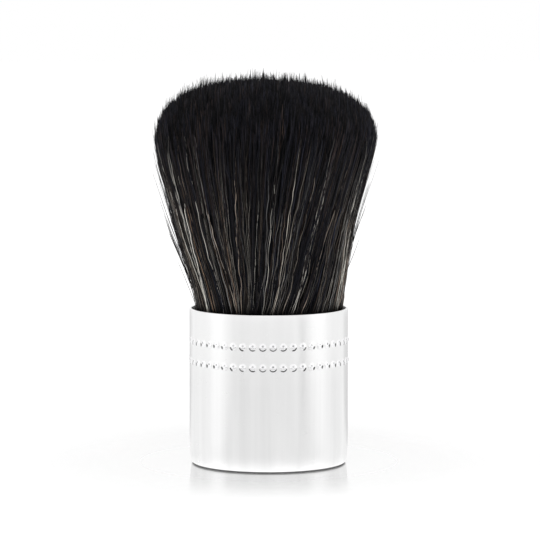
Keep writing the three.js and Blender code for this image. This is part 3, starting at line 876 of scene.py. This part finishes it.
def makeWorld():
    # an even white room: white to the eye and in the metal, a little less as light and in a mirror's mirror
    room = {"light": 0.9, "seen": 1.0, "twiceMirrored": 0.85}
    world = bpy.data.worlds.new("whiteRoom")
    bpy.context.scene.world = world
    world.use_nodes = True
    tree = world.node_tree
    tree.nodes.clear()
    path = addNode(tree, "LightPath")
    seen = addNode(tree, "Math", {"operation": "MAXIMUM"},
                   {0: path.outputs["Is Camera Ray"], 1: path.outputs["Is Glossy Ray"]})
    shown = addNode(tree, "Math", {"operation": "MAXIMUM"},
                    {0: seen, 1: path.outputs["Is Transmission Ray"]})
    once = addNode(tree, "MapRange", {"To Min": room["light"], "To Max": room["seen"]}, {"Value": shown})
    strength = addNode(tree, "MapRange",
                       {"From Min": 1.0, "From Max": 2.0, "To Max": room["twiceMirrored"]},
                       {"Value": path.outputs["Glossy Depth"], "To Min": once})
    background = addNode(tree, "Background", {"Color": linearColour("#ffffff")}, {"Strength": strength})
    addNode(tree, "OutputWorld", links={"Surface": background})


def aim(item, place, target):
    # turns an object's -Z from its place towards a target, with +Y up
    forward = unit(np.array(target, float) - np.array(place, float))
    right = unit(np.cross(forward, [0, 0, 1]))
    up = np.cross(right, forward)
    turn = np.stack([right, up, -forward, np.array(place) * mm], -1)
    item.matrix_world = Matrix([*turn.tolist(), [0, 0, 0, 1]])


def makeLights():
    # soft boxes at both sides and above, all aimed at the middle of the brush: place, size and glow of each
    middle = (0, 0, 35)
    softboxes = {
        "leftSoftbox": ((-420, -80, 160), (220, 420), 0.28),
        "rightSoftbox": ((420, -100, 160), (220, 420), 0.28),
        "topSoftbox": ((0, -260, 520), (300, 200), 1.6),
    }
    for name, (place, size, glow) in softboxes.items():
        lamp = bpy.data.lights.new(name, "AREA")
        lamp.shape = "RECTANGLE"
        lamp.size, lamp.size_y = (side * mm for side in size)
        lamp.energy = glow * math.pi * lamp.size * lamp.size_y  # radiance to watts
        aim(addObject(name, lamp), place, middle)
    print("lights:", ", ".join(softboxes))


def makeMats():
    # grey mats and white sheets on the table that only the metal shows: each is a fan between two bearings
    # from the front and two distances from the axis, with its tone and glow
    mats = {
        "front_mat": ((-53, 33), (68, 125), "#cccccc", 1.0),
        "side_mat": ((44, 52), (68, 260), "#c0c0c0", 1.0),
        "left_sheet": ((-90, -57), (20, 260), "#ffffff", 1.02),
        "right_sheet": ((61, 91), (20, 260), "#ffffff", 1.03),
        "back_left_sheet": ((-140, -90), (20, 300), "#ffffff", 0.98),
        "back_right_sheet": ((91, 134), (20, 300), "#ffffff", 0.97),
        "far_left_mat": ((-177, -146), (17, 420), "#d8d8d8", 1.0),
        "far_right_mat": ((136, 177), (17, 420), "#d8d8d8", 1.0),
    }
    steps, level = 24, -0.01 * mm
    near = np.arange(steps - 1)
    far = near + steps
    faces = np.stack([near, far, far + 1, near + 1], -1).tolist()
    for name, (bearings, reaches, tone, glow) in mats.items():
        bearing = np.radians(np.linspace(*bearings, steps))
        reach = np.array(reaches)[:, None] * mm
        edges = np.stack(np.broadcast_arrays(reach * np.sin(bearing), -reach * np.cos(bearing), level), -1)
        mesh = bpy.data.meshes.new(name)
        mesh.from_pydata(edges.reshape(-1, 3).tolist(), [], faces)
        material, tree = newMaterial(name + "Paper")
        lit = addNode(tree, "Emission", {"Color": linearColour(tone), "Strength": glow})
        # nothing from below, where the board's own mirror would find it
        under = addNode(tree, "NewGeometry").outputs["Backfacing"]
        clear = addNode(tree, "BsdfTransparent")
        oneSided = addNode(tree, "MixShader", links={0: under, 1: lit, 2: clear})
        mesh.materials.append(finishMaterial(material, oneSided))
        item = addObject(name, mesh)
        item.visible_camera = False
        item.visible_diffuse = False
        item.visible_shadow = False
    print("mats:", ", ".join(mats))


def makeCamera():
    # a long lens, a little above the brush
    view = {"place": (0.23, -547.0, 85.0), "target": (0.23, 0, 34.7), "lens": 204.0, "sensor": 36,
            "clip": (0.01, 10)}
    data = bpy.data.cameras.new("photoCamera")
    data.lens = view["lens"]
    data.sensor_width = view["sensor"]
    data.clip_start, data.clip_end = view["clip"]
    camera = addObject("photoCamera", data)
    aim(camera, view["place"], view["target"])
    bpy.context.scene.camera = camera
    print("camera:", view["lens"], "mm lens")


bpy.context.scene.view_settings.view_transform = "Standard"
makeCamera()
makeStage()
makeWorld()
makeLights()
makeMats()
makeCup()
makeTuft()
finishInside()
